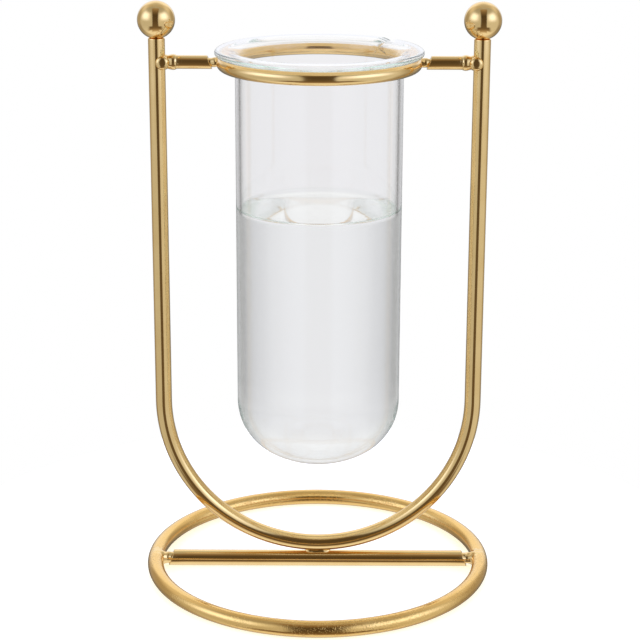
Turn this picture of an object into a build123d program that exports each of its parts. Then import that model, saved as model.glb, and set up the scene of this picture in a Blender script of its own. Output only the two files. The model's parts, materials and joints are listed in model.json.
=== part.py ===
"""Test tube vase: a glass tube with a flared rim hangs in a wire ring on a bent rod stand.

Millimetres, +Z up, floor at Z = 0, the middle of the base ring at X = Y = 0.
The front faces -Y, so left is -X and right is +X.
"""
import os
from math import asin, cos, radians, sin, sqrt

from build123d import *

os.makedirs("parts", exist_ok=True)

# Metal stock
rod_diameter = 5.0
wire_diameter = 4.0

# Glass tube
tube_diameter = 50.0
tube_wall = 1.5
tube_length = 128.6
crown_radius = 32.0
knuckle_radius = 18.0
rim_overhang = 6.0
rim_thickness = 2.0
rim_root_radius = 2.2
flare_radius = 3.8

# Pouring spout pressed into the rim, turned from straight back towards the right
spout_turn = 46.0
spout_width = 6.0
spout_depth = 1.1
spout_drop = 3.9
spout_throw = 3.5

# Fits
ring_clearance = 1.5
rim_seat_gap = 0.1
tube_hang_gap = 26.3

# Stand
arm_reach = 15.0
leg_above_arm = 7.2
leg_end_chamfer = 0.4
base_diameter = 108.0
ball_diameter = 11.2
ball_seat_diameter = 3.8

# Welds
foot_weld_gap = 0.4
foot_weld_length = 8.0
foot_weld_width = 3.0
leg_bead_diameter = 5.5
leg_bead_sink = 0.1
leg_bead_waist = 4.1
leg_bead_collar = 4.6
leg_bead_reach = 3.3
ring_bead_diameter = 2.8
ring_bead_neck = 2.4
ring_bead_reach = 1.9
bar_bead_diameter = 3.0
bar_bead_foot = 4.2
bar_bead_reach = 2.4
end_cut_angle = 20.0

# Radii of stock and rings
rod_radius = rod_diameter / 2
wire_radius = wire_diameter / 2
tube_radius = tube_diameter / 2
bore_radius = tube_radius - tube_wall
rim_radius = tube_radius + rim_overhang
ball_radius = ball_diameter / 2
holder_ring_radius = tube_radius + ring_clearance + wire_radius
holder_ring_outside = holder_ring_radius + wire_radius
base_ring_radius = base_diameter / 2 - rod_radius
base_ring_inside = base_ring_radius - rod_radius
leg_place = holder_ring_outside + arm_reach + rod_radius

# Heights above the floor
foot_height = rod_diameter + foot_weld_gap + rod_radius
bend_height = foot_height + leg_place
tube_bottom = foot_height + rod_radius + tube_hang_gap
rim_top = tube_bottom + tube_length
rim_underside = rim_top - rim_thickness
arm_height = rim_underside - rim_seat_gap - wire_radius
leg_top = arm_height + leg_above_arm
ball_height = leg_top + sqrt(ball_radius**2 - (ball_seat_diameter / 2) ** 2)

# Places along X where the arms and the crossbar end
arm_outer_end = leg_place - rod_radius - leg_bead_reach
arm_inner_end = holder_ring_outside + ring_bead_reach
bar_end = base_ring_inside - bar_bead_reach

# Slanted ends: the upper side of a bar stops further from the ring that it is welded to
arm_cut = Plane(
    origin=(arm_inner_end, 0, arm_height),
    z_dir=(cos(radians(end_cut_angle)), 0, -sin(radians(end_cut_angle))),
)
bar_cut = Plane(
    origin=(bar_end, 0, rod_radius),
    z_dir=(cos(radians(end_cut_angle)), 0, sin(radians(end_cut_angle))),
)

# Base ring
with BuildPart() as base_ring:
    with Locations((0, 0, rod_radius)):
        Torus(base_ring_radius, rod_radius)
base_ring.part.label = "base_ring"

# Crossbar: a diameter of the base ring, cut on the slant at both ends
with BuildPart() as base_crossbar:
    with BuildSketch(Plane.YZ):
        with Locations((0, rod_radius)):
            Circle(rod_radius)
    extrude(amount=base_ring_inside)
    split(bisect_by=bar_cut, keep=Keep.BOTTOM)
    mirror(about=Plane.YZ)
base_crossbar.part.label = "base_crossbar"

# Frame: one rod bent to a U, with a half circle between two straight legs
with BuildPart() as u_frame:
    with BuildLine(Plane.XZ):
        Line((-leg_place, leg_top), (-leg_place, bend_height))
        ThreePointArc((-leg_place, bend_height), (0, foot_height), (leg_place, bend_height))
        Line((leg_place, bend_height), (leg_place, leg_top))
    with BuildSketch(Plane(origin=(-leg_place, 0, leg_top), z_dir=(0, 0, -1))):
        Circle(rod_radius)
    sweep()
    chamfer(u_frame.edges().group_by(Axis.Z)[-1], length=leg_end_chamfer)
u_frame.part.label = "u_frame"

# Weld between the foot of the frame and the crossbar, fitted to both rods
with BuildPart() as frame_foot_weld:
    with BuildSketch(Plane.XY.offset(rod_radius)):
        SlotOverall(foot_weld_length, foot_weld_width)
    extrude(amount=foot_height - rod_radius)
    add(base_crossbar.part, mode=Mode.SUBTRACT)
    add(u_frame.part, mode=Mode.SUBTRACT)
frame_foot_weld.part.label = "frame_foot_weld"

# Weld between the crossbar and the base ring: a nugget that spreads on to the ring
with BuildPart() as bar_ring_weld:
    with BuildSketch(Plane.XZ.shift_origin((0, 0, rod_radius))):
        with BuildLine():
            Polyline(
                (base_ring_radius, bar_bead_foot / 2),
                (base_ring_radius, 0),
                (bar_end - rod_radius, 0),
                (bar_end - rod_radius, bar_bead_diameter / 2),
                (bar_end, bar_bead_diameter / 2),
            )
            TangentArc(
                (bar_end, bar_bead_diameter / 2),
                (base_ring_radius, bar_bead_foot / 2),
                tangent=(1, 0),
            )
        make_face()
    revolve(axis=Axis((0, 0, rod_radius), (1, 0, 0)))
    split(bisect_by=bar_cut, keep=Keep.TOP)
    add(base_ring.part, mode=Mode.SUBTRACT)

with BuildPart() as crossbar_weld_right:
    add(bar_ring_weld.part)
crossbar_weld_right.part.label = "crossbar_weld_right"

with BuildPart() as crossbar_weld_left:
    mirror(bar_ring_weld.part, about=Plane.YZ)
crossbar_weld_left.part.label = "crossbar_weld_left"

# Holder ring: thin wire, wide enough for the tube and narrower than its rim
with BuildPart() as holder_ring:
    with Locations((0, 0, arm_height)):
        Torus(holder_ring_radius, wire_radius)
holder_ring.part.label = "holder_ring"

# Arm between a leg and the holder ring, cut on the slant at the ring
with BuildPart() as ring_arm:
    with BuildSketch(Plane.YZ.offset(holder_ring_outside)):
        with Locations((0, arm_height)):
            Circle(wire_radius)
    extrude(amount=arm_outer_end - holder_ring_outside)
    split(bisect_by=arm_cut, keep=Keep.TOP)

with BuildPart() as ring_arm_right:
    add(ring_arm.part)
ring_arm_right.part.label = "ring_arm_right"

with BuildPart() as ring_arm_left:
    mirror(ring_arm.part, about=Plane.YZ)
ring_arm_left.part.label = "ring_arm_left"

# Weld between an arm and the holder ring: a narrow round nugget
with BuildPart() as ring_weld:
    with BuildSketch(Plane.XZ.shift_origin((0, 0, arm_height))):
        with BuildLine():
            ThreePointArc(
                (holder_ring_radius, ring_bead_neck / 2),
                (holder_ring_outside + ring_bead_reach / 2, ring_bead_diameter / 2),
                (arm_inner_end + wire_radius, ring_bead_neck / 2),
            )
            Polyline(
                (arm_inner_end + wire_radius, ring_bead_neck / 2),
                (arm_inner_end + wire_radius, 0),
                (holder_ring_radius, 0),
                (holder_ring_radius, ring_bead_neck / 2),
            )
        make_face()
    revolve(axis=Axis((0, 0, arm_height), (1, 0, 0)))
    split(bisect_by=arm_cut, keep=Keep.BOTTOM)
    add(holder_ring.part, mode=Mode.SUBTRACT)

with BuildPart() as ring_weld_right:
    add(ring_weld.part)
ring_weld_right.part.label = "ring_weld_right"

with BuildPart() as ring_weld_left:
    mirror(ring_weld.part, about=Plane.YZ)
ring_weld_left.part.label = "ring_weld_left"

# Weld between an arm and a leg: a round bead that laps the leg, with a collar at the arm
leg_bead_radius = leg_bead_diameter / 2
leg_bead_place = leg_place - rod_radius + leg_bead_sink
leg_bead_shoulder = leg_bead_place - sqrt(leg_bead_radius**2 - (leg_bead_waist / 2) ** 2)
with BuildPart() as leg_weld:
    with BuildSketch(Plane.XZ.shift_origin((0, 0, arm_height))):
        with BuildLine():
            ThreePointArc(
                (leg_bead_place + leg_bead_radius, 0),
                (leg_bead_place, leg_bead_radius),
                (leg_bead_shoulder, leg_bead_waist / 2),
            )
            ThreePointArc(
                (leg_bead_shoulder, leg_bead_waist / 2),
                ((leg_bead_shoulder + arm_outer_end) / 2, leg_bead_collar / 2),
                (arm_outer_end, wire_radius),
            )
            Polyline(
                (arm_outer_end, wire_radius),
                (arm_outer_end, 0),
                (leg_bead_place + leg_bead_radius, 0),
            )
        make_face()
    revolve(axis=Axis((0, 0, arm_height), (1, 0, 0)))
    add(u_frame.part, mode=Mode.SUBTRACT)

with BuildPart() as leg_weld_right:
    add(leg_weld.part)
leg_weld_right.part.label = "leg_weld_right"

with BuildPart() as leg_weld_left:
    mirror(leg_weld.part, about=Plane.YZ)
leg_weld_left.part.label = "leg_weld_left"

# Finial ball: a sphere with a small flat where it is welded on the end of a leg
with BuildPart() as finial_ball:
    with Locations((leg_place, 0, ball_height)):
        Sphere(ball_radius)
    split(bisect_by=Plane.XY.offset(leg_top), keep=Keep.TOP)

with BuildPart() as finial_ball_right:
    add(finial_ball.part)
finial_ball_right.part.label = "finial_ball_right"

with BuildPart() as finial_ball_left:
    mirror(finial_ball.part, about=Plane.YZ)
finial_ball_left.part.label = "finial_ball_left"

# Glass tube: the wall is as thick in the dome as in the straight part
crown_height = tube_bottom + crown_radius
knuckle_place = tube_radius - knuckle_radius
knuckle_lean = asin(knuckle_place / (crown_radius - knuckle_radius))
knuckle_height = crown_height - (crown_radius - knuckle_radius) * cos(knuckle_lean)
crown_middle = knuckle_lean / 2
knuckle_middle = (knuckle_lean + radians(90)) / 2
inner_crown = crown_radius - tube_wall
inner_knuckle = knuckle_radius - tube_wall
rim_edge = rim_thickness / 2
round_off = 1 - cos(radians(45))

# Spout: its crease leaves the bore spout_drop below the top of the rim and ends level
spout_centre = bore_radius + spout_throw
spout_floor = rim_top - spout_depth
spout_rise = spout_drop - spout_depth
spout_sweep = (spout_throw**2 + spout_rise**2) / (2 * spout_rise)
spout_out = Vector(sin(radians(spout_turn)), cos(radians(spout_turn)), 0)
spout_across = Vector(-cos(radians(spout_turn)), sin(radians(spout_turn)), 0)
spout_plane = Plane(
    origin=spout_out * spout_centre + Vector(0, 0, spout_floor - spout_sweep),
    x_dir=spout_across,
    z_dir=spout_out,
)

with BuildPart() as glass_tube:
    with BuildSketch(Plane.XZ):
        with BuildLine():
            ThreePointArc(
                (0, tube_bottom),
                (crown_radius * sin(crown_middle), crown_height - crown_radius * cos(crown_middle)),
                (crown_radius * sin(knuckle_lean), crown_height - crown_radius * cos(knuckle_lean)),
            )
            ThreePointArc(
                (crown_radius * sin(knuckle_lean), crown_height - crown_radius * cos(knuckle_lean)),
                (
                    knuckle_place + knuckle_radius * sin(knuckle_middle),
                    knuckle_height - knuckle_radius * cos(knuckle_middle),
                ),
                (tube_radius, knuckle_height),
            )
            Line((tube_radius, knuckle_height), (tube_radius, rim_underside - rim_root_radius))
            ThreePointArc(
                (tube_radius, rim_underside - rim_root_radius),
                (
                    tube_radius + rim_root_radius * round_off,
                    rim_underside - rim_root_radius * round_off,
                ),
                (tube_radius + rim_root_radius, rim_underside),
            )
            Line((tube_radius + rim_root_radius, rim_underside), (rim_radius - rim_edge, rim_underside))
            ThreePointArc(
                (rim_radius - rim_edge, rim_underside),
                (rim_radius, rim_underside + rim_edge),
                (rim_radius - rim_edge, rim_top),
            )
            Line((rim_radius - rim_edge, rim_top), (bore_radius + flare_radius, rim_top))
            ThreePointArc(
                (bore_radius + flare_radius, rim_top),
                (bore_radius + flare_radius * round_off, rim_top - flare_radius * round_off),
                (bore_radius, rim_top - flare_radius),
            )
            Line((bore_radius, rim_top - flare_radius), (bore_radius, knuckle_height))
            ThreePointArc(
                (bore_radius, knuckle_height),
                (
                    knuckle_place + inner_knuckle * sin(knuckle_middle),
                    knuckle_height - inner_knuckle * cos(knuckle_middle),
                ),
                (inner_crown * sin(knuckle_lean), crown_height - inner_crown * cos(knuckle_lean)),
            )
            ThreePointArc(
                (inner_crown * sin(knuckle_lean), crown_height - inner_crown * cos(knuckle_lean)),
                (inner_crown * sin(crown_middle), crown_height - inner_crown * cos(crown_middle)),
                (0, tube_bottom + tube_wall),
            )
            Line((0, tube_bottom + tube_wall), (0, tube_bottom))
        make_face()
    revolve(axis=Axis.Z)
    with BuildSketch(spout_plane) as spout_profile:
        with BuildLine():
            Polyline(
                (0, spout_sweep),
                (spout_width, spout_sweep + 2 * spout_depth),
                (-spout_width, spout_sweep + 2 * spout_depth),
                close=True,
            )
        make_face()
    revolve(
        spout_profile.sketch,
        axis=Axis(spout_plane.origin, -spout_across),
        revolution_arc=90,
        mode=Mode.SUBTRACT,
    )
    extrude(amount=rim_radius, mode=Mode.SUBTRACT)
glass_tube.part.label = "glass_tube"

# Export
for node in (
    base_ring,
    base_crossbar,
    u_frame,
    frame_foot_weld,
    crossbar_weld_left,
    crossbar_weld_right,
    holder_ring,
    ring_arm_left,
    ring_arm_right,
    ring_weld_left,
    ring_weld_right,
    leg_weld_left,
    leg_weld_right,
    finial_ball_left,
    finial_ball_right,
    glass_tube,
):
    export_step(node.part, f"parts/{node.part.label}.step")
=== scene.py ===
"""Test tube vase: a glass tube with a flared rim hangs in a wire ring on a bent gold rod stand.

Metres, +Z up, floor at Z = 0, the middle of the base ring at X = Y = 0.
The front faces -Y, so left is -X and right is +X.
"""
import json
from math import asin, cos, degrees, exp, pi, radians, sin, sqrt, tan, tau

import bmesh
import bpy
from bpy.props import FloatProperty, FloatVectorProperty, PointerProperty
from mathutils import Euler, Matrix, Quaternion, Vector, noise


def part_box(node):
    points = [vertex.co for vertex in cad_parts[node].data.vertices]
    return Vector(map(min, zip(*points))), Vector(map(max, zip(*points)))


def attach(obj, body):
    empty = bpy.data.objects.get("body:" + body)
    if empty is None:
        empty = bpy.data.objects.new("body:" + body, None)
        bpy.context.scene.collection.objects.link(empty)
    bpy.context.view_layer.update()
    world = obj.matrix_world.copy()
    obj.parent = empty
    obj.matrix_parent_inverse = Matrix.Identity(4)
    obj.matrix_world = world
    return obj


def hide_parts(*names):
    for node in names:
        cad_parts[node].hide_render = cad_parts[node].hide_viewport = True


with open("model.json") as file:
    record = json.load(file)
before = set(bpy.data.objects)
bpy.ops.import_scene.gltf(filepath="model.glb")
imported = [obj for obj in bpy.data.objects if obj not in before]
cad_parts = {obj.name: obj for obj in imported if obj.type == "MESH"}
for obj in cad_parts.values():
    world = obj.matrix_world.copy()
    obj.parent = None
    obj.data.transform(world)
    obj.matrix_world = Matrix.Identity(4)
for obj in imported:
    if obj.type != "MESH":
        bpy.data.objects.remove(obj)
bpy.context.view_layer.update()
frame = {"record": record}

bl_info = {
    "name": "Test Tube Vase",
    "version": (1, 0, 0),
    "blender": (4, 5, 0),
    "location": "View3D > Sidebar > Vase",
    "description": "Builds a glass test tube vase on a gold rod stand",
    "category": "Add Mesh",
}

MM = 0.001
SURFACE_MAP = "surface"
SIDES = {"left": -1, "right": 1}

# Bounces that let light find its way out of thick glass and water
CLEAR_BOUNCES = 256
# Bounces after which the glass gives a painted glow, for light caught inside the rim of the tube
CAUGHT_BOUNCES = 96

# How finely round shapes are divided
ROD_FACETS = 72
BEND_STEPS = 160
RING_STEPS = 320
BEAD_STEPS = 6
WALL_STEPS = 24
BOTTOM_STEPS = 28
RIM_STEPS = 40
FLARE_STEPS = 48
# A ring of points with a smaller radius is a tip
TIP = 0.0001 * MM
# An edge with a sharper turn is not smoothed
SHARP_EDGE = radians(38)
# How far the round front of a leg weld leans up
BUTTON_LEAN = radians(8)
# How far the water reaches into the glass, so that no film of air shows between them
WETTING = 0.04 * MM

# What settings of one kind have in common
COLOUR = {"subtype": "COLOR", "min": 0, "max": 1}
SHARE = {"subtype": "FACTOR", "min": 0, "max": 1}


# Sizes read from the frame

def middle(node):
    """Centre of a CAD node's box."""
    low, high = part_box(node)
    return (low + high) / 2


def half_size(node):
    """Half the extents of a CAD node's box."""
    low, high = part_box(node)
    return (high - low) / 2


def bore_radius():
    """Inside radius of the tube, from the record's mount at its mouth."""
    for mount in frame["record"]["mounts"]:
        if mount["name"] == "tube_mouth":
            return mount["dims"]["r_mm"] * MM
    raise RuntimeError("the record has no mount named tube_mouth")


class VaseMetalSettings(bpy.types.PropertyGroup):
    """Finish and small forms of the gold stand."""

    gold: FloatVectorProperty(
        name="Gold", description="Colour of the polished plating", **COLOUR,
        default=(0.90, 0.635, 0.275)
    )
    gold_shade: FloatVectorProperty(
        name="Gold Shade", description="Colour of the plating where it lies thinner", **COLOUR,
        default=(0.85, 0.58, 0.235)
    )
    base_gold: FloatVectorProperty(
        name="Base Gold", description="Colour of the plating on the base ring", **COLOUR,
        default=(0.89, 0.575, 0.2)
    )
    base_shade: FloatVectorProperty(
        name="Base Shade",
        description="Colour of the plating on the base ring where it lies thinner", **COLOUR,
        default=(0.85, 0.53, 0.165)
    )
    polish: FloatProperty(
        name="Polish", description="Roughness of the plated rods", **SHARE, default=0.10
    )
    base_polish: FloatProperty(
        name="Base Polish", description="Roughness of the plated base ring", **SHARE,
        default=0.13
    )
    weld_polish: FloatProperty(
        name="Weld Polish", description="Roughness of the plated weld beads", **SHARE,
        default=0.11
    )
    leg_end_round: FloatProperty(
        name="Leg End Round", description="Rounding at the tops of the legs, under the balls",
        unit="LENGTH", default=0.4 * MM
    )
    bar_end_round: FloatProperty(
        name="Bar End Round",
        description="Rounding at the cut ends of the arms and the crossbar", unit="LENGTH",
        default=0.15 * MM
    )
    end_cut: FloatProperty(
        name="End Cut", description="Slant of the cut ends of the arms and the crossbar",
        subtype="ANGLE", default=radians(20)
    )
    bead_lumps: FloatProperty(
        name="Bead Lumps", description="How far a weld bead strays from a round form",
        unit="LENGTH", default=0.14 * MM
    )


class VaseGlassSettings(bpy.types.PropertyGroup):
    """Form of the glass tube and of the water in it."""

    wall: FloatProperty(
        name="Wall", description="Thickness of the glass", unit="LENGTH", default=1.5 * MM
    )
    crown: FloatProperty(
        name="Crown", description="Outside radius of the middle of the round bottom",
        unit="LENGTH", default=32 * MM
    )
    knuckle: FloatProperty(
        name="Knuckle", description="Outside radius where the round bottom turns into the wall",
        unit="LENGTH", default=18 * MM
    )
    rim: FloatProperty(
        name="Rim", description="Thickness of the flared rim", unit="LENGTH", default=2 * MM
    )
    rim_root: FloatProperty(
        name="Rim Root", description="Radius under the rim, where it leaves the wall",
        unit="LENGTH", default=2.2 * MM
    )
    flare: FloatProperty(
        name="Flare", description="Radius over which the bore opens into the rim", unit="LENGTH",
        default=3.8 * MM
    )
    spout_turn: FloatProperty(
        name="Spout Turn",
        description="Place of the spout, turned from the back towards the right",
        subtype="ANGLE", default=radians(46)
    )
    spout_width: FloatProperty(
        name="Spout Width", description="Width of the spout at the top of the rim",
        unit="LENGTH", default=6 * MM
    )
    spout_depth: FloatProperty(
        name="Spout Depth", description="Depth of the spout's crease below the top of the rim",
        unit="LENGTH", default=1.1 * MM
    )
    spout_drop: FloatProperty(
        name="Spout Drop",
        description="Depth below the rim at which the spout's crease leaves the bore",
        unit="LENGTH", default=3.9 * MM
    )
    spout_throw: FloatProperty(
        name="Spout Throw",
        description="Distance from the bore at which the spout's crease is level", unit="LENGTH",
        default=3.5 * MM
    )
    water_level: FloatProperty(
        name="Water Level", description="Height of the water above the floor", unit="LENGTH",
        default=116.6 * MM
    )
    water_climb: FloatProperty(
        name="Water Climb", description="How far the water climbs up the glass at its edge",
        unit="LENGTH", default=1.6 * MM
    )
    glass_tint: FloatVectorProperty(
        name="Glass Tint", description="Colour of the glass", **COLOUR,
        default=(0.99, 0.988, 0.99)
    )
    # A painted glow that the glass gives after many bounces inside it
    painted_caught_glow: FloatVectorProperty(
        name="Caught Light",
        description="Light that shows in the ends of the rim, where it goes round inside the glass",
        **COLOUR, default=(0.42, 0.43, 0.45)
    )
    water_tint: FloatVectorProperty(
        name="Water Tint", description="Colour of the water", **COLOUR,
        default=(0.98, 0.99, 0.985)
    )


class VaseStageSettings(bpy.types.PropertyGroup):
    """Camera, floor and studio."""

    distance: FloatProperty(
        name="Distance", description="From the camera to the point that it looks at",
        unit="LENGTH", default=0.59536
    )
    elevation: FloatProperty(
        name="Elevation", description="How far the camera looks down", subtype="ANGLE",
        default=radians(16.877)
    )
    turn: FloatProperty(
        name="Turn", description="How far the camera stands round to the right", subtype="ANGLE",
        default=0
    )
    roll: FloatProperty(
        name="Roll", description="How far the camera leans", subtype="ANGLE",
        default=radians(0.2)
    )
    aim_height: FloatProperty(
        name="Aim Height", description="Height of the point that the camera looks at",
        unit="LENGTH", default=81.74 * MM
    )
    lens: FloatProperty(
        name="Lens", description="Focal length on a 36 mm wide sensor", default=109.02
    )
    shift: FloatProperty(
        name="Shift", description="Sideways shift of the frame, as a share of its width",
        default=0.0023
    )
    floor_radius: FloatProperty(
        name="Floor Radius", description="Radius of the round floor", unit="LENGTH",
        default=0.13
    )
    # Floor colour is bluish, so that where the floor lies in shadow the warm glow is left: painted warm
    # bounce light from the gold
    floor_colour: FloatVectorProperty(
        name="Floor Colour",
        description="What the floor adds to its glow where light falls on it", **COLOUR,
        default=(0.35, 0.55, 0.95)
    )
    # Painted bounce light: warm glow left where the floor lies in the shadow of the gold
    painted_bounce_glow: FloatVectorProperty(
        name="Floor Glow",
        description="Warm light of the floor that is left in the shadow of the gold", **COLOUR,
        default=(0.96, 0.82, 0.56)
    )
    dim_front: FloatVectorProperty(
        name="Dim Front",
        description="What the metal behind the glass mirrors from the front of the room",
        **COLOUR, default=(0.13, 0.1, 0.07)
    )
    room: FloatVectorProperty(
        name="Room",
        description="What the metal behind the glass mirrors from either side of the dim front",
        **COLOUR, default=(0.64, 0.635, 0.63)
    )
    flank: FloatVectorProperty(
        name="Flank",
        description="What shows through the glass and the water from the sides of the room",
        **COLOUR, default=(0.76, 0.765, 0.77)
    )
    backdrop: FloatVectorProperty(
        name="Backdrop", description="What shows through the glass and the water", **COLOUR,
        default=(0.885, 0.882, 0.9)
    )
    table: FloatVectorProperty(
        name="Table",
        description="What shows through the glass and the water from steeply below", **COLOUR,
        default=(1.0, 1.0, 1.0)
    )
    ceiling: FloatVectorProperty(
        name="Ceiling",
        description="What shows through the glass and the water from steeply above", **COLOUR,
        default=(0.79, 0.78, 0.77)
    )


# Meshes made of rings of points

def turns(count):
    """Evenly spaced angles all the way round."""
    return [tau * step / count for step in range(count)]


def spread(start, end, steps):
    """Evenly spaced values from start to end, with both ends."""
    return [start + (end - start) * step / steps for step in range(steps + 1)]


def arc(centre, radius, start, end, steps):
    """Points of an arc in a profile, by angles in degrees."""
    return [
        (centre[0] + radius * cos(radians(turn)), centre[1] + radius * sin(radians(turn)))
        for turn in spread(start, end, steps)
    ]


def hoop(centre, side, up, radius, facets=ROD_FACETS):
    """A ring of points about a centre, in the plane of two directions."""
    return [
        centre + side * (radius * cos(turn)) + up * (radius * sin(turn))
        for turn in turns(facets)
    ]


def add_shell(bm, layer, rings, closed):
    """Faces through rings of points, where a ring of one point is a tip."""
    rows = [[bm.verts.new(point) for point in ring] for ring in rings]
    facets = max(len(row) for row in rows)
    widest = max(rings, key=len)
    girth = facets * (widest[1] - widest[0]).length
    pairs = list(zip(rows, rows[1:]))
    if closed:
        pairs.append((rows[-1], rows[0]))
    along = 0.0
    for near, far in pairs:
        reach = along + (far[0].co - near[0].co).length
        for place in range(facets):
            corners = (
                (near, place, along),
                (near, place + 1, along),
                (far, place + 1, reach),
                (far, place, reach),
            )
            loop_of = {}
            for row, step, length in corners:
                vert = row[step % len(row)]
                loop_of.setdefault(vert, (girth * step / facets, length))
            face = bm.faces.new(list(loop_of))
            face.smooth = True
            for loop in face.loops:
                loop[layer].uv = loop_of[loop.vert]
        along = reach
    if not closed:
        for row in (rows[0], rows[-1]):
            if len(row) > 1:
                bm.faces.new(row)


def skin(name, *shells, closed=False):
    """One smooth mesh of closed shells, each through its own rings of points.

    Its map holds the distance round the piece and the distance along it, in metres.
    """
    bm = bmesh.new()
    layer = bm.loops.layers.uv.new(SURFACE_MAP)
    for rings in shells:
        add_shell(bm, layer, rings, closed)
    bmesh.ops.recalc_face_normals(bm, faces=bm.faces)
    for edge in bm.edges:
        if edge.calc_face_angle() > SHARP_EDGE:
            edge.smooth = False
    mesh = bpy.data.meshes.new(name)
    bm.to_mesh(mesh)
    bm.free()
    return mesh


def lathe(name, profile, centre=Vector(), angles=None):
    """A profile of (radius, height) points turned about an upright axis."""
    angles = angles or turns(ROD_FACETS)
    rings = []
    for radius, height in profile:
        if radius < TIP:
            rings.append([centre + Vector((0, 0, height))])
        else:
            rings.append(
                [centre + Vector((radius * cos(t), radius * sin(t), height)) for t in angles]
            )
    return skin(name, rings)


def place_piece(mesh, material, body, node=None):
    """Puts a finished mesh in the scene as a piece of a body, in the stead of a CAD node."""
    piece = bpy.data.objects.new(mesh.name, mesh)
    bpy.context.scene.collection.objects.link(piece)
    mesh.materials.append(material)
    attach(piece, body)
    if node:
        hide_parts(node)


# Materials

def add_node(tree, kind, inputs=None, **settings):
    """A shader node with its settings, and its inputs set or linked by name or place."""
    made = tree.nodes.new(kind)
    for key, value in settings.items():
        setattr(made, key, value)
    for key, value in (inputs or {}).items():
        if isinstance(value, bpy.types.NodeSocket):
            tree.links.new(value, made.inputs[key])
        else:
            made.inputs[key].default_value = value
    return made


def new_material(name):
    """An empty node material and its output node."""
    material = bpy.data.materials.new(name)
    material.use_nodes = True
    tree = material.node_tree
    tree.nodes.clear()
    return material, tree, tree.nodes.new("ShaderNodeOutputMaterial")


def rgba(colour):
    """A colour with full alpha."""
    return (*colour, 1.0)


def between(tree, value, low, high, new_low, new_high):
    """A value carried from one range to another."""
    ranged = add_node(
        tree,
        "ShaderNodeMapRange",
        {"Value": value, 1: low, 2: high, 3: new_low, 4: new_high},
    )
    return ranged.outputs["Result"]


def reckon(tree, operation, *values):
    """The result of a sum with values or other results."""
    made = add_node(tree, "ShaderNodeMath", dict(enumerate(values)), operation=operation)
    return made.outputs[0]


def noise_over(tree, place, scale, detail, roughness=0.5):
    """Soft noise over a place."""
    return add_node(
        tree,
        "ShaderNodeTexNoise",
        {"Vector": place, "Scale": scale, "Detail": detail, "Roughness": roughness},
    ).outputs["Fac"]


def stretched(tree, place, scale):
    """A place drawn out by its own scale each way."""
    return add_node(tree, "ShaderNodeMapping", {"Vector": place, "Scale": scale}).outputs["Vector"]


def bumped(tree, height, distance, strength, **under):
    """A surface raised by a height, over the normal under it if there is one."""
    inputs = {"Height": height, "Distance": distance, "Strength": strength, **under}
    return add_node(tree, "ShaderNodeBump", inputs).outputs["Normal"]


def surface_map(tree):
    """Distances round a piece and along it."""
    return add_node(tree, "ShaderNodeUVMap", uv_map=SURFACE_MAP).outputs["UV"]


def gold_plating(name, colours, polish, pit_depth, drawn, flecks=0.0):
    """Polished plating: fine pits, slow waves, on drawn rods faint lines along them, and flecks."""
    if name in bpy.data.materials:
        return bpy.data.materials[name]
    material, tree, output = new_material(name)
    place = add_node(tree, "ShaderNodeTexCoord").outputs["Object"]
    pits = noise_over(tree, place, 1700, 3, 0.6)
    cloud = noise_over(tree, place, 130, 4, 0.55)
    waves = noise_over(tree, place, 70, 1)
    colour = add_node(
        tree,
        "ShaderNodeMix",
        {
            "Factor": between(tree, cloud, 0.35, 0.7, 0, 1),
            6: rgba(colours[0]),
            7: rgba(colours[1]),
        },
        data_type="RGBA",
    ).outputs[2]
    roughness = between(tree, cloud, 0.3, 0.75, polish * 0.8, polish * 1.5)
    normal = bumped(tree, waves, 0.00005, 0.25)
    if drawn:
        lines = noise_over(tree, stretched(tree, surface_map(tree), (2600, 55, 1)), 1, 2)
        normal = bumped(tree, lines, 0.00001, 0.1, Normal=normal)
    normal = bumped(tree, pits, pit_depth, 0.2, Normal=normal)
    if flecks:
        specks = between(tree, noise_over(tree, place, 2400, 1), 0.56, 0.7, 0, 1)
        patch = between(tree, noise_over(tree, place, 55, 2), 0.42, 0.55, 0.15, 1)
        height = reckon(tree, "MULTIPLY", specks, patch)
        normal = bumped(tree, height, flecks, 1.0, Normal=normal)
    shader = add_node(
        tree,
        "ShaderNodeBsdfPrincipled",
        {"Base Color": colour, "Metallic": 1.0, "Roughness": roughness, "Normal": normal},
    )
    tree.links.new(shader.outputs["BSDF"], output.inputs["Surface"])
    return material


def rod_gold(metal):
    """Plating on drawn and bent rods."""
    colours = (metal.gold, metal.gold_shade)
    return gold_plating("gold_plated_rod", colours, metal.polish, 0.000008, drawn=True)


def ring_gold(metal):
    """Plating on the base ring, deeper in colour, duller and more pitted than on the other rods."""
    colours = (metal.base_gold, metal.base_shade)
    return gold_plating(
        "gold_plated_base", colours, metal.base_polish, 0.00004, drawn=True, flecks=0.00003
    )


def ball_gold(metal):
    """Plating on turned balls."""
    colours = (metal.gold, metal.gold_shade)
    return gold_plating("gold_plated_ball", colours, metal.polish * 0.8, 0.000015, drawn=False)


def weld_gold(metal):
    """Plating over uneven weld beads."""
    colours = (metal.gold, metal.gold_shade)
    return gold_plating("gold_plated_weld", colours, metal.weld_polish, 0.00003, drawn=False)


def clear_body(name, tint, ior, ripple_scale, ripple_depth, smear):
    """A clear body with faint ripples in its surface and a trace of smears."""
    material, tree, output = new_material(name)
    place = add_node(tree, "ShaderNodeTexCoord").outputs["Object"]
    ripple = noise_over(tree, stretched(tree, place, ripple_scale), 1, 1)
    smears = noise_over(tree, place, 90, 4)
    shader = add_node(
        tree,
        "ShaderNodeBsdfPrincipled",
        {
            "Base Color": rgba(tint),
            "Roughness": between(tree, smears, 0.5, 0.8, 0, smear),
            "IOR": ior,
            "Transmission Weight": 1.0,
            "Normal": bumped(tree, ripple, ripple_depth, 0.2),
        },
    )
    tree.links.new(shader.outputs["BSDF"], output.inputs["Surface"])
    return material, tree, shader
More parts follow.
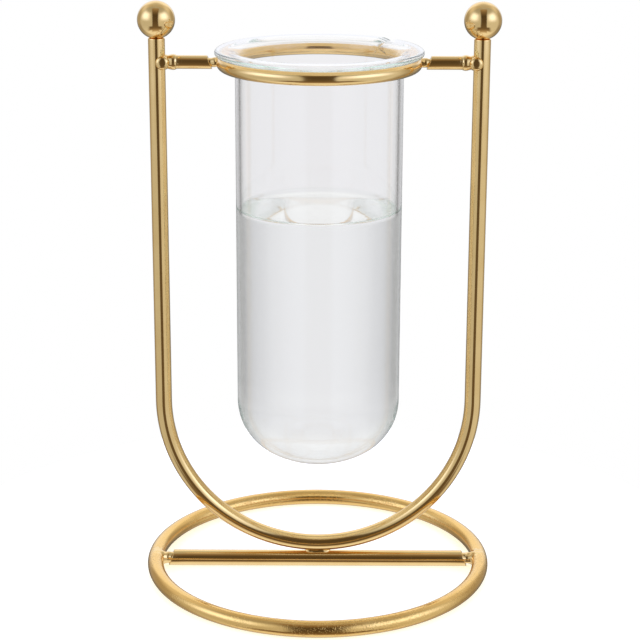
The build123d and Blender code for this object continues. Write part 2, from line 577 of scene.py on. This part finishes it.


# Painted shade in the wall of the tube, as how clear its colour is, from seen face on at 0 to edge on
# at 1
DRY_WALL_PAINTED_SHADE = ((0.52, 0.97), (0.59, 0.78), (0.65, 0.33), (0.68, 0.09), (0.72, 0.34), (0.77, 0.62),
            (0.83, 0.95), (0.9, 0.97))
FULL_WALL_PAINTED_SHADE = ((0.05, 0.97), (0.2, 0.86), (0.3, 0.72), (0.42, 0.63), (0.49, 0.6), (0.53, 0.53),
             (0.58, 0.42), (0.64, 0.4), (0.71, 0.45), (0.81, 0.88), (0.9, 0.97))
BOTTOM_WALL_PAINTED_SHADE = ((0.1, 0.99), (0.3, 0.93), (0.5, 0.83), (0.75, 0.82), (0.85, 0.97))


def blend_at(tree, value, start, end, before, after):
    """One brightness below a value's start and another above its end."""
    share = add_node(
        tree,
        "ShaderNodeMapRange",
        {"Value": value, 1: start, 2: end, 3: 0.0, 4: 1.0},
        interpolation_type="SMOOTHSTEP",
    ).outputs["Result"]
    return add_node(
        tree, "ShaderNodeMix", {"Factor": share, 6: before, 7: after}, data_type="RGBA"
    ).outputs[2]


def colour_ramp(tree, value, stops):
    """Colours along a value from 0 to 1, from stops of a place and a colour."""
    ramp = add_node(tree, "ShaderNodeValToRGB", {"Fac": value})
    elements = ramp.color_ramp.elements
    while len(elements) < len(stops):
        elements.new(0.5)
    for element, (position, colour) in zip(elements, stops):
        element.position = position
        element.color = rgba(colour)
    return ramp.outputs["Color"]


def grey_ramp(tree, value, stops):
    """Greys along a value from 0 to 1."""
    return colour_ramp(tree, value, [(position, (grey,) * 3) for position, grey in stops])


def drawn_glass(glass, form, wall_length):
    """Clear glass with faint draw lines, whose straight wall has painted shade: grey lines in its
    colour near its edges.

    The outer wall is the first stretch of the piece's map, up to a length from its bottom.
    Where light stays caught inside the rim, the glass gives a painted soft grey glow.
    """
    material, tree, shader = clear_body(
        "drawn_glass", glass.glass_tint, 1.5, (160, 160, 6), 0.00004, 0.03
    )
    place = add_node(tree, "ShaderNodeTexCoord").outputs["Object"]
    height = add_node(tree, "ShaderNodeSeparateXYZ", {0: place}).outputs["Z"]
    facing = add_node(tree, "ShaderNodeLayerWeight", {"Blend": 0.5}).outputs["Facing"]
    clear = rgba(glass.glass_tint)
    # Painted shade: grey bands in the glass's colour near the edges of the wall, with water behind,
    # above it and at the bottom
    full = grey_ramp(tree, facing, FULL_WALL_PAINTED_SHADE)
    dry = grey_ramp(tree, facing, DRY_WALL_PAINTED_SHADE)
    bottom = grey_ramp(tree, facing, BOTTOM_WALL_PAINTED_SHADE)
    low, high = form.knuckle_height - 8 * MM, form.knuckle_height + 6 * MM
    full = blend_at(tree, height, low, high, bottom, full)
    wall = blend_at(tree, height, glass.water_level, glass.water_level + 1 * MM, full, dry)
    along = add_node(tree, "ShaderNodeSeparateXYZ", {0: surface_map(tree)}).outputs["Y"]
    colour = blend_at(tree, along, wall_length - 0.5 * MM, wall_length, wall, clear)
    tree.links.new(colour, shader.inputs["Base Color"])
    # Painted glow: the glass glows in the caught light's colour at a set depth of bounces
    depth = add_node(tree, "ShaderNodeLightPath").outputs["Ray Depth"]
    caught = reckon(tree, "COMPARE", depth, CAUGHT_BOUNCES, 0.5)
    tree.links.new(caught, shader.inputs["Emission Strength"])
    shader.inputs["Emission Color"].default_value = rgba(glass.painted_caught_glow)
    return material


def still_water(glass):
    """Clear still water."""
    return clear_body("still_water", glass.water_tint, 1.333, (40, 40, 40), 0.00003, 0.01)[0]


# Stand

class VASE_OT_bend_frame(bpy.types.Operator):
    """Bend the U-shaped frame from one rod"""

    bl_idname = "vase.bend_frame"
    bl_label = "Bend Frame"

    def execute(self, context):
        metal = context.scene.vase_metal
        low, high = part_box("u_frame")
        radius = half_size("u_frame").y
        leg = high.x - radius
        bend_height = low.z + radius + leg
        depth = Vector((0, 1, 0))
        soften = metal.leg_end_round
        top = [
            (high.z - soften * (1 - sin(radians(turn))), radius - soften * (1 - cos(radians(turn))))
            for turn in spread(90, 0, 4)
        ]
        stations = [
            (Vector((-leg, 0, height)), Vector((-1, 0, 0)), girth) for height, girth in top
        ]
        for turn in spread(pi, tau, BEND_STEPS):
            outward = Vector((cos(turn), 0, sin(turn)))
            stations.append((Vector((0, 0, bend_height)) + outward * leg, outward, radius))
        stations += [
            (Vector((leg, 0, height)), Vector((1, 0, 0)), girth) for height, girth in reversed(top)
        ]
        rings = [hoop(centre, outward, depth, girth) for centre, outward, girth in stations]
        place_piece(skin("bent_frame", rings), rod_gold(metal), "stand", "u_frame")
        return {"FINISHED"}


class VASE_OT_form_rings(bpy.types.Operator):
    """Form the base ring and the ring that holds the tube"""

    bl_idname = "vase.form_rings"
    bl_label = "Form Rings"

    def execute(self, context):
        metal = context.scene.vase_metal
        finishes = {"base_ring": ring_gold(metal), "holder_ring": rod_gold(metal)}
        for node, material in finishes.items():
            size = half_size(node)
            centre = middle(node)
            upright = Vector((0, 0, 1))
            rings = []
            for turn in turns(RING_STEPS):
                outward = Vector((cos(turn), sin(turn), 0))
                rings.append(hoop(centre + outward * (size.x - size.z), outward, upright, size.z))
            mesh = skin(f"formed_{node}", rings, closed=True)
            place_piece(mesh, material, "stand", node)
        return {"FINISHED"}


def cut_bar(name, ends, height, radius, soften, depth=Vector((0, 1, 0))):
    """A straight bar along X, with the slant of its cut at each end, softened round the cut."""
    rings = []
    for (place, slant), inward in zip(ends, (1, -1)):
        rows = []
        for turn in spread(90, 0, 4):
            back = soften * (1 - cos(radians(90 - turn)))
            girth = radius - soften * (1 - cos(radians(turn)))
            rows.append((place + inward * back, girth, slant))
        rows.append((place + inward * 2 * radius, radius, 0))
        if inward < 0:
            rows.reverse()
        for x, girth, lean in rows:
            rings.append(
                [
                    Vector((x + lean * girth * cos(t), girth * sin(t), height + girth * cos(t)))
                    for t in turns(ROD_FACETS)
                ]
            )
    return skin(name, rings)


class VASE_OT_cut_bars(bpy.types.Operator):
    """Cut the crossbar and the two arms, with slanted ends"""

    bl_idname = "vase.cut_bars"
    bl_label = "Cut Bars"

    def execute(self, context):
        metal = context.scene.vase_metal
        material = rod_gold(metal)
        slant = tan(metal.end_cut)
        size = half_size("base_crossbar")
        place = size.x - slant * size.z
        mesh = cut_bar(
            "cut_crossbar",
            ((-place, slant), (place, -slant)),
            middle("base_crossbar").z,
            size.z,
            metal.bar_end_round,
        )
        place_piece(mesh, material, "stand", "base_crossbar")
        for side, sign in SIDES.items():
            node = f"ring_arm_{side}"
            low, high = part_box(node)
            radius = half_size(node).z
            if sign > 0:
                ends = ((low.x + slant * radius, slant), (high.x, 0))
            else:
                ends = ((low.x, 0), (high.x - slant * radius, -slant))
            mesh = cut_bar(f"cut_arm_{side}", ends, middle(node).z, radius, metal.bar_end_round)
            place_piece(mesh, material, "stand", node)
        return {"FINISHED"}


class VASE_OT_turn_finials(bpy.types.Operator):
    """Turn the two balls that stand on the legs"""

    bl_idname = "vase.turn_finials"
    bl_label = "Turn Finials"

    def execute(self, context):
        material = ball_gold(context.scene.vase_metal)
        for side in SIDES:
            node = f"finial_ball_{side}"
            low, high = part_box(node)
            radius = half_size(node).x
            height = high.z - radius
            seat = degrees(asin((low.z - height) / radius))
            profile = [(0, low.z)] + arc((0, height), radius, seat, 90, 64)
            profile[-1] = (0, high.z)
            axis = Vector((middle(node).x, 0, 0))
            mesh = lathe(f"turned_ball_{side}", profile, axis)
            place_piece(mesh, material, "stand", node)
        return {"FINISHED"}


def through(points, steps):
    """A smooth line through profile points, with so many steps between two of them."""
    padded = [points[0], *points, points[-1]]
    smooth = []
    for before, start, end, after in zip(padded, padded[1:], padded[2:], padded[3:]):
        for step in range(steps):
            t = step / steps
            weights = (
                (-t + 2 * t**2 - t**3) / 2,
                (2 - 5 * t**2 + 3 * t**3) / 2,
                (t + 4 * t**2 - 3 * t**3) / 2,
                (-(t**2) + t**3) / 2,
            )
            corners = (before, start, end, after)
            smooth.append(tuple(sum(w * p[i] for w, p in zip(weights, corners)) for i in (0, 1)))
    return smooth + [points[-1]]


def bead_rings(outline, start, lumps, axis=Vector((1, 0, 0)), flatten=1.0):
    """An uneven bead along an axis, from an outline of (place, girth) points with a tip at each end."""
    across = axis.orthogonal().normalized()
    up = axis.cross(across)
    if abs(across.z) > abs(up.z):
        across, up = up, across
    rings = []
    for place, girth in through(outline, BEAD_STEPS):
        middle_point = start + axis * place
        if girth < 0.01 * MM:
            rings.append([middle_point])
            continue
        ring = []
        for turn in turns(ROD_FACETS):
            away = across * sin(turn) + up * (flatten * cos(turn))
            point = middle_point + away * girth
            ring.append(point + away * lumps * noise.noise(point / (1.3 * MM)))
        rings.append(ring)
    return rings


def puddle_rings(sign, rod, lumps):
    """Metal that ran out over the base ring, from its inner side up over its top."""
    centre = half_size("base_ring").x - rod
    rings = []
    for along in spread(-1.4 * rod, 1.4 * rod, 36):
        outward = Vector((sign * cos(along / centre), sin(along / centre), 0))
        ring = []
        for turn in turns(ROD_FACETS):
            away = outward * cos(turn) + Vector((0, 0, sin(turn)))
            point = outward * centre + Vector((0, 0, rod)) + away * rod
            fade = (along / (1.15 * rod)) ** 2 + ((turn - radians(140)) / radians(80)) ** 2
            swell = 1.4 * lumps * (1 - fade) + 0.9 * lumps * noise.noise(point / (0.9 * MM))
            ring.append(point + away * max(swell, -1.5 * lumps))
        rings.append(ring)
    return rings


class VASE_OT_lay_welds(bpy.types.Operator):
    """Lay the weld beads that join the stand"""

    bl_idname = "vase.lay_welds"
    bl_label = "Lay Welds"

    def lay(self, name, node, *shells):
        """One finished bead in place of its CAD node."""
        material = weld_gold(bpy.context.scene.vase_metal)
        place_piece(skin(name, *shells), material, "stand", node)

    def execute(self, context):
        lumps = context.scene.vase_metal.bead_lumps
        rod = half_size("u_frame").y
        wire = half_size("holder_ring").z
        for side, sign in SIDES.items():
            self.lay_leg_weld(side, sign, rod, wire, lumps)
            self.lay_ring_weld(side, sign, wire, lumps)
            self.lay_crossbar_weld(side, sign, rod, lumps)
        self.lay_foot_weld(rod, lumps)
        return {"FINISHED"}

    def lay_leg_weld(self, side, sign, rod, wire, lumps):
        """A sleeve with a collar at the arm, and a round button that laps the front of the leg."""
        node = f"leg_weld_{side}"
        leg = middle(f"finial_ball_{side}").x
        bead = half_size(node).z
        arm_end = min(abs(end.x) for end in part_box(node))
        inward = -sign
        reach = abs(leg) - arm_end
        sleeve = [
            (leg + inward * along * rod, girth * bead)
            for along, girth in (
                (0.1, 0), (0.2, 0.78), (0.7, 0.84), (1.1, 0.8),
                (1.28, 0.74), (1.56, 0.79), (1.88, 0.84), (2.16, 0.81),
            )
        ]
        sleeve += [
            (leg + inward * (reach + along * wire), girth * wire)
            for along, girth in ((0, 1.02), (0.4, 0.9), (0.5, 0))
        ]
        button = [
            (along * bead, girth * bead)
            for along, girth in (
                (0, 0), (0.007, 0.2), (0.033, 0.4), (0.11, 0.57), (0.27, 0.7),
                (0.48, 0.75), (0.8, 0.7), (1.1, 0.5), (1.2, 0),
            )
        ]
        level = Vector((0, 0, middle(node).z))
        face = level + Vector((leg + inward * 0.7 * rod, -1.2 * bead, 0.08 * bead))
        lean = Vector((0, cos(BUTTON_LEAN), -sin(BUTTON_LEAN)))
        self.lay(
            f"bead_leg_{side}",
            node,
            bead_rings(sleeve, level, 0.3 * lumps),
            bead_rings(button, face, 0.1 * lumps, axis=lean),
        )

    def lay_ring_weld(self, side, sign, wire, lumps):
        """A narrow nugget between an arm and the holder ring."""
        node = f"ring_weld_{side}"
        ring = half_size("holder_ring").x
        bead = half_size(node).z
        arm_end = min(abs(end.x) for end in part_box(f"ring_arm_{side}"))
        outline = [
            (sign * (start + along * wire), girth * bead)
            for start, along, girth in (
                (ring, -0.8, 0), (ring, -0.7, 0.8), (ring, 0.1, 1.0), (ring, 0.45, 1.0),
                (arm_end, 0.35, 0.86), (arm_end, 1.2, 0.8), (arm_end, 1.3, 0),
            )
        ]
        level = Vector((0, 0, middle(node).z))
        self.lay(f"bead_ring_{side}", node, bead_rings(outline, level, lumps))

    def lay_crossbar_weld(self, side, sign, rod, lumps):
        """A nugget at an end of the crossbar that spreads on to the base ring."""
        node = f"crossbar_weld_{side}"
        inside = half_size("base_ring").x - 2 * rod
        bar_end = half_size("base_crossbar").x
        outline = [
            (sign * (start + along * rod), girth * rod)
            for start, along, girth in (
                (inside, 0.75, 0), (inside, 0.6, 0.9), (inside, 0.15, 0.88), (inside, -0.2, 0.74),
                (bar_end, -0.1, 0.7), (bar_end, -0.6, 0.76), (bar_end, -1.3, 0.7), (bar_end, -1.4, 0),
            )
        ]
        nugget = bead_rings(outline, Vector((0, 0, rod)), 2 * lumps)
        self.lay(f"bead_crossbar_{side}", node, nugget, puddle_rings(sign, rod, lumps))

    def lay_foot_weld(self, rod, lumps):
        """A flat bead between the foot of the frame and the crossbar."""
        node = "frame_foot_weld"
        size = half_size(node)
        outline = [
            (along * size.x, girth * size.y)
            for along, girth in (
                (-1, 0), (-0.9, 0.55), (-0.5, 0.95), (0, 1), (0.5, 0.95), (0.9, 0.55), (1, 0),
            )
        ]
        level = Vector((0, 0, (2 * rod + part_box("u_frame")[0].z) / 2))
        self.lay("bead_frame_foot", node, bead_rings(outline, level, lumps, flatten=0.6))


# Tube and water

class TubeForm:
    """The outlines of the tube's inside and outside, as (radius, height) points from the bottom up."""

    def __init__(self, glass):
        low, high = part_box("glass_tube")
        self.bore = bore_radius()
        self.bottom = low.z
        self.top = high.z
        self.rim_radius = high.x
        self.outside = self.bore + glass.wall
        self.crown_height = self.bottom + glass.crown
        self.knuckle_place = self.outside - glass.knuckle
        lean = asin(self.knuckle_place / (glass.crown - glass.knuckle))
        self.lean = degrees(lean)
        self.knuckle_height = self.crown_height - (glass.crown - glass.knuckle) * cos(lean)
        self.crown = glass.crown
        self.knuckle = glass.knuckle

    def round_bottom(self, inset):
        """From the axis up to the start of the straight wall, at a depth inside the outer face."""
        crown = arc((0, self.crown_height), self.crown - inset, -90, self.lean - 90, BOTTOM_STEPS)
        bend = (self.knuckle_place, self.knuckle_height)
        knuckle = arc(bend, self.knuckle - inset, self.lean - 90, 0, BOTTOM_STEPS)
        return [(0, crown[0][1])] + crown[1:] + knuckle[1:]


class VASE_OT_blow_tube(bpy.types.Operator):
    """Blow the glass tube with its round bottom, flared rim and pressed spout"""

    bl_idname = "vase.blow_tube"
    bl_label = "Blow Tube"

    def execute(self, context):
        glass = context.scene.vase_glass
        form = TubeForm(glass)
        edge = glass.rim / 2
        underside = form.top - glass.rim
        below_root = underside - glass.rim_root
        flare_start = form.top - glass.flare
        outer = form.round_bottom(0)
        outer += [(form.outside, z) for z in spread(form.knuckle_height, below_root, WALL_STEPS)[1:]]
        wall_length = sum(
            sqrt((far[0] - near[0]) ** 2 + (far[1] - near[1]) ** 2)
            for near, far in zip(outer, outer[1:])
        )
        root = form.outside + glass.rim_root
        rim_end = form.rim_radius - edge
        mouth = form.bore + glass.flare
        outer += arc((root, below_root), glass.rim_root, 180, 90, WALL_STEPS)[1:]
        outer += [(radius, underside) for radius in spread(root, rim_end, RIM_STEPS)[1:-1]]
        outer += arc((rim_end, underside + edge), edge, -90, 0, WALL_STEPS)
        lip = arc((rim_end, underside + edge), edge, 0, 90, WALL_STEPS)[1:]
        lip += [(radius, form.top) for radius in spread(rim_end, mouth, RIM_STEPS)[1:-1]]
        lip += arc((mouth, flare_start), glass.flare, 90, 180, FLARE_STEPS)
        inner = [(form.bore, z) for z in spread(flare_start, form.knuckle_height, WALL_STEPS)[1:]]
        inner += form.round_bottom(glass.wall)[-2::-1]

        spout = pi / 2 - glass.spout_turn
        dense = radians(9)
        angles = [spout + step for step in spread(-dense, dense, 120)]
        angles += [spout + step for step in spread(dense, tau - dense, 160)[1:-1]]
        rise = glass.spout_drop - glass.spout_depth
        sweep = (glass.spout_throw**2 + rise**2) / (2 * rise)
        pivot = form.top - glass.spout_depth - sweep

        def spout_height(radius, turn):
            """Height of the spout's creased trough over a place on the rim."""
            across = abs(radius * sin(turn - spout))
            back = max(0, form.bore + glass.spout_throw - radius * cos(turn - spout))
            reach = sweep + across * 2 * glass.spout_depth / glass.spout_width
            if across > glass.spout_width or back > reach:
                return form.top
            return pivot + sqrt(reach**2 - back**2)

        def ring_at(radius, height, pressed=False):
            """A ring of the tube, pressed down where the spout lies lower."""
            if radius < TIP:
                return [Vector((0, 0, height))]
            ring = []
            for turn in angles:
                level = min(height, spout_height(radius, turn)) if pressed else height
                ring.append(Vector((radius * cos(turn), radius * sin(turn), level)))
            return ring

        rings = [ring_at(*point) for point in outer]
        rings += [ring_at(*point, pressed=True) for point in lip]
        rings += [ring_at(*point) for point in inner]
        mesh = skin("blown_tube", rings)
        place_piece(mesh, drawn_glass(glass, form, wall_length), "tube", "glass_tube")
        return {"FINISHED"}


class VASE_OT_pour_water(bpy.types.Operator):
    """Pour the water that stands in the tube"""

    bl_idname = "vase.pour_water"
    bl_label = "Pour Water"

    def execute(self, context):
        glass = context.scene.vase_glass
        form = TubeForm(glass)
        edge = form.bore + WETTING
        level = glass.water_level
        profile = form.round_bottom(glass.wall - WETTING)
        profile += [(edge, z) for z in spread(form.knuckle_height, level, 20)[1:]]
        curl = 1.3 * MM
        for back in spread(0, 1, 20):
            reach = 7 * MM * back**2
            profile.append((edge - reach, level + glass.water_climb * exp(-reach / curl)))
        profile += [(radius, level) for radius in spread(edge - 9 * MM, 0, 5)]
        mesh = lathe("standing_water", profile, angles=turns(160))
        place_piece(mesh, still_water(glass), "tube")
        return {"FINISHED"}


# Stage

# Studio by height above the horizon in degrees, as brightness, in five directions round the vase
STUDIO = {
    "front": ((-90, 1.0), (-72, 1.0), (-62, 0.55), (-50, 0.3), (-40, 0.18), (-25, 0.15), (-12, 0.13),
              (0, 0.11), (34, 0.09), (47, 0.15), (60, 0.24), (72, 0.36), (90, 0.52)),
    "left": ((-90, 1.0), (-62, 0.95), (-45, 0.7), (-25, 0.62), (20, 0.64), (42, 0.58), (60, 0.46),
             (75, 0.47), (90, 0.52)),
    "right": ((-90, 1.0), (-62, 0.95), (-45, 0.76), (-25, 0.72), (20, 0.74), (42, 0.62), (60, 0.48),
              (75, 0.48), (90, 0.52)),
    "wings": ((-90, 1.0), (-60, 0.6), (-37, 0.37), (-23, 0.33), (-12, 0.45), (0, 0.44), (14, 0.46),
              (22, 0.58), (30, 0.76), (40, 0.82), (60, 0.6), (90, 0.52)),
    "back": ((-90, 1.0), (-60, 0.7), (-42, 0.4), (-33, 0.2), (-13, 0.2), (-4, 0.55), (4, 0.9),
             (14, 1.1), (40, 1.1), (60, 0.65), (75, 0.55), (90, 0.52)),
}
# Painted glow that metal mirrors of the floor inside the base ring, by how steeply it looks down
PAINTED_FLOOR_MIRROR = ((90, 1.0), (70, 1.0), (57, 0.92), (47, 0.72), (40, 0.5), (20, 0.6), (0, 0.6))
# Cast of full light, and of the dimmer light that each direction sends
FULL_CAST = (1.0, 1.04, 1.15)
# Warm cast of the floor's painted glow that metal mirrors
PAINTED_FLOOR_CAST = (1.0, 0.8, 0.6)
CAST = {
    "front": (1.0, 0.74, 0.46),
    "left": (0.96, 1.02, 1.12),
    "right": (0.96, 1.02, 1.12),
    "wings": (1.0, 0.92, 0.78),
    "back": (1.0, 1.0, 1.0),
}
WHITE = (1, 1, 1, 1)
BLACK = (0, 0, 0, 1)
# Faces of glass that light passes on its way to the metal behind the mouth and back
METAL_PASSES = 4
# Soft boxes: where they stand round the vase in degrees, and their light
SOFT_BOXES = ((-66, (0.9, 1.1, 1.8)), (58, (0.85, 1.05, 1.8)))


def level_of(elevation):
    """Height above the horizon in degrees as a share, from 0 straight down to 1 straight up."""
    return elevation / 180 + 0.5


def mix_of(tree, share, first, second):
    """One shader where a share is 0, and another where it is 1."""
    inputs = {0: share, 1: first.outputs[0], 2: second.outputs[0]}
    return add_node(tree, "ShaderNodeMixShader", inputs)


def facing_at(steepness):
    """How far the floor is turned from a look at it, for its steepness in degrees."""
    return 1 - sin(radians(steepness))


def light_ramp(tree, value, profile, cast):
    """Light along a value from 0 to 1; the dimmer it is, the more it has the cast."""
    stops = []
    for position, level in profile:
        share = min(level, 1.0) ** 2
        hues = [dim + (full - dim) * share for dim, full in zip(cast, FULL_CAST)]
        stops.append((position, [level * hue for hue in hues]))
    return colour_ramp(tree, value, stops)


def studio_world(stage):
    """White to the camera, and a soft studio with a dim front to metal and glass."""
    world = bpy.data.worlds.new("studio")
    world.use_nodes = True
    tree = world.node_tree
    tree.nodes.clear()
    direction = add_node(tree, "ShaderNodeTexCoord").outputs["Generated"]
    parts = add_node(tree, "ShaderNodeSeparateXYZ", {0: direction})

    forward = reckon(tree, "MULTIPLY", parts.outputs["Y"], -1.0)
    round_turn = reckon(tree, "ARCTAN2", parts.outputs["X"], forward)
    aside = reckon(tree, "ABSOLUTE", round_turn)
    rise = reckon(tree, "ARCSINE", parts.outputs["Z"])
    height = reckon(tree, "MULTIPLY_ADD", rise, 1 / pi, 0.5)

    def by_height(low, high, below, above):
        return blend_at(tree, height, level_of(low), level_of(high), below, above)

    def by_turn(near, far, inside, outside):
        return blend_at(tree, aside, radians(near), radians(far), inside, outside)

    views = {}
    for name, profile in STUDIO.items():
        stops = [(level_of(elevation), level) for elevation, level in profile]
        views[name] = light_ramp(tree, height, stops, CAST[name])
    sides = blend_at(tree, round_turn, -0.1, 0.1, views["left"], views["right"])
    sideways = reckon(tree, "ABSOLUTE", parts.outputs["X"])
    front = blend_at(tree, sideways, 0.24, 0.36, views["front"], sides)
    apron = blend_at(tree, sideways, 0.45, 0.7, views["front"], sides)
    low = by_height(-60, -50, front, apron)
    low = by_height(-36, -28, low, front)
    light = blend_at(tree, parts.outputs["Y"], -0.25, -0.05, low, sides)
    light = by_turn(92, 118, light, views["wings"])
    light = by_turn(138, 155, light, views["back"])
    for place, glow in SOFT_BOXES:
        away = reckon(tree, "ABSOLUTE", reckon(tree, "SUBTRACT", round_turn, radians(place)))
        box = blend_at(tree, away, radians(4), radians(44), rgba(glow), BLACK)
        box = by_height(-8, 20, BLACK, box)
        box = by_height(28, 52, box, BLACK)
        both = {"Factor": 1.0, 6: light, 7: box}
        light = add_node(
            tree, "ShaderNodeMix", both, data_type="RGBA", blend_type="ADD"
        ).outputs[2]
    path = add_node(tree, "ShaderNodeLightPath")
    studio = add_node(tree, "ShaderNodeBackground", {"Color": light, "Strength": 1.0})
    paper = add_node(tree, "ShaderNodeBackground", {"Color": WHITE, "Strength": 1.0})
    behind = by_height(-50, -35, rgba(stage.table), rgba(stage.backdrop))
    behind = by_height(-4, 12, behind, WHITE)
    behind = by_height(35, 60, behind, rgba(stage.ceiling))
    flank = by_turn(40, 65, behind, rgba(stage.flank))
    behind = by_turn(125, 155, flank, behind)
    dim = by_turn(15, 22, rgba(stage.dim_front), rgba(stage.room))
    dim = by_turn(40, 65, dim, behind)
    dim = by_height(0, 6, behind, dim)
    dim = by_height(48, 58, dim, behind)
    passes = path.outputs["Transmission Depth"]
    dim = blend_at(tree, passes, METAL_PASSES - 1, METAL_PASSES, behind, dim)
    behind = blend_at(tree, passes, METAL_PASSES + 1, METAL_PASSES + 2, dim, behind)
    backdrop = add_node(tree, "ShaderNodeBackground", {"Color": behind, "Strength": 1.0})
    mixed = mix_of(tree, path.outputs["Is Transmission Ray"], studio, backdrop)
    mixed = mix_of(tree, path.outputs["Is Camera Ray"], mixed, paper)
    output = tree.nodes.new("ShaderNodeOutputWorld")
    tree.links.new(mixed.outputs[0], output.inputs["Surface"])
    return world


def floor_paper(stage):
    """White floor that glows a little, so that only a faint shadow is left on it; that shadow is warm,
    with painted bounce light from the gold.

    Metal mirrors a painted glow of it inside the base ring only, where it looks down steeply or nearly
    level.
    """
    material, tree, output = new_material("floor_paper")
    path = add_node(tree, "ShaderNodeLightPath")
    place = add_node(tree, "ShaderNodeTexCoord").outputs["Object"]
    grain = noise_over(tree, place, 900, 2)
    paper = add_node(
        tree,
        "ShaderNodeBsdfPrincipled",
        {
            "Base Color": rgba(stage.floor_colour),
            "Roughness": between(tree, grain, 0.3, 0.7, 0.42, 0.5),
        },
    )
    # Warm glow to the camera; with the bluish paper it leaves the shadow warm, as painted bounce light
    # from the gold
    glow = add_node(
        tree,
        "ShaderNodeEmission",
        {"Color": rgba(stage.painted_bounce_glow), "Strength": path.outputs["Is Camera Ray"]},
    )
    lit = add_node(tree, "ShaderNodeAddShader", {0: paper.outputs[0], 1: glow.outputs[0]})
    # Painted glow that metal mirrors in place of the lit floor, by how steeply it looks down
    facing = add_node(tree, "ShaderNodeLayerWeight", {"Blend": 0.5}).outputs["Facing"]
    stops = [(facing_at(steepness), level) for steepness, level in PAINTED_FLOOR_MIRROR]
    painted_mirror = add_node(
        tree, "ShaderNodeEmission", {"Color": light_ramp(tree, facing, stops, PAINTED_FLOOR_CAST)}
    )
    reach = add_node(tree, "ShaderNodeVectorMath", {0: place}, operation="LENGTH").outputs["Value"]
    clear = add_node(tree, "ShaderNodeBsdfTransparent")
    inside = half_size("base_ring").x
    steep = between(tree, facing, facing_at(36), facing_at(43), 0, 1)
    level = between(tree, facing, facing_at(16), facing_at(10), 0, 1)
    within = between(tree, reach, inside - 7 * MM, inside - 3 * MM, 1, 0)
    shown = reckon(tree, "MULTIPLY", reckon(tree, "ADD", steep, level), within)
    painted_mirror = mix_of(tree, shown, clear, painted_mirror)
    surface = mix_of(tree, path.outputs["Is Glossy Ray"], lit, painted_mirror)
    tree.links.new(surface.outputs[0], output.inputs["Surface"])
    return material


class VASE_OT_set_stage(bpy.types.Operator):
    """Set the floor, the studio light and the camera"""

    bl_idname = "vase.set_stage"
    bl_label = "Set Stage"

    def execute(self, context):
        scene = context.scene
        stage = scene.vase_stage
        scene.view_settings.view_transform = "Standard"
        scene.cycles.max_bounces = CLEAR_BOUNCES
        scene.cycles.glossy_bounces = CLEAR_BOUNCES
        scene.cycles.transmission_bounces = CLEAR_BOUNCES
        scene.world = studio_world(stage)
        bm = bmesh.new()
        bmesh.ops.create_circle(bm, cap_ends=True, segments=128, radius=stage.floor_radius)
        mesh = bpy.data.meshes.new("floor")
        bm.to_mesh(mesh)
        bm.free()
        floor = bpy.data.objects.new("floor", mesh)
        mesh.materials.append(floor_paper(stage))
        floor.visible_transmission = False
        scene.collection.objects.link(floor)

        data = bpy.data.cameras.new("camera")
        data.sensor_width = 36
        data.lens = stage.lens
        data.shift_x = stage.shift
        camera = bpy.data.objects.new("camera", data)
        aim = Euler((pi / 2 - stage.elevation, 0, stage.turn)).to_quaternion()
        aim = aim @ Quaternion((0, 0, 1), stage.roll)
        camera.rotation_euler = aim.to_euler()
        camera.location = Vector((0, 0, stage.aim_height)) + stage.distance * Vector(
            (
                cos(stage.elevation) * sin(stage.turn),
                -cos(stage.elevation) * cos(stage.turn),
                sin(stage.elevation),
            )
        )
        scene.collection.objects.link(camera)
        scene.camera = camera
        return {"FINISHED"}


OPERATORS = (
    VASE_OT_bend_frame,
    VASE_OT_form_rings,
    VASE_OT_cut_bars,
    VASE_OT_turn_finials,
    VASE_OT_lay_welds,
    VASE_OT_blow_tube,
    VASE_OT_pour_water,
    VASE_OT_set_stage,
)
SETTINGS = {
    "vase_metal": VaseMetalSettings,
    "vase_glass": VaseGlassSettings,
    "vase_stage": VaseStageSettings,
}


class VASE_PT_sidebar(bpy.types.Panel):
    """Lists the steps of making the vase and the settings that they use."""

    bl_label = "Test Tube Vase"
    bl_idname = "VASE_PT_sidebar"
    bl_space_type = "VIEW_3D"
    bl_region_type = "UI"
    bl_category = "Vase"

    def draw(self, context):
        for operator in OPERATORS:
            self.layout.operator(operator.bl_idname)
        for name, group in SETTINGS.items():
            box = self.layout.box()
            for key in group.__annotations__:
                box.prop(getattr(context.scene, name), key)


CLASSES = (*SETTINGS.values(), *OPERATORS, VASE_PT_sidebar)


def register():
    for made in CLASSES:
        bpy.utils.register_class(made)
    for name, group in SETTINGS.items():
        setattr(bpy.types.Scene, name, PointerProperty(type=group))


def unregister():
    for name in SETTINGS:
        delattr(bpy.types.Scene, name)
    for made in reversed(CLASSES):
        bpy.utils.unregister_class(made)


def main():
    register()
    bpy.ops.vase.bend_frame()
    bpy.ops.vase.form_rings()
    bpy.ops.vase.cut_bars()
    bpy.ops.vase.turn_finials()
    bpy.ops.vase.lay_welds()
    bpy.ops.vase.blow_tube()
    bpy.ops.vase.pour_water()
    bpy.ops.vase.set_stage()


if __name__ == "__main__":
    main()
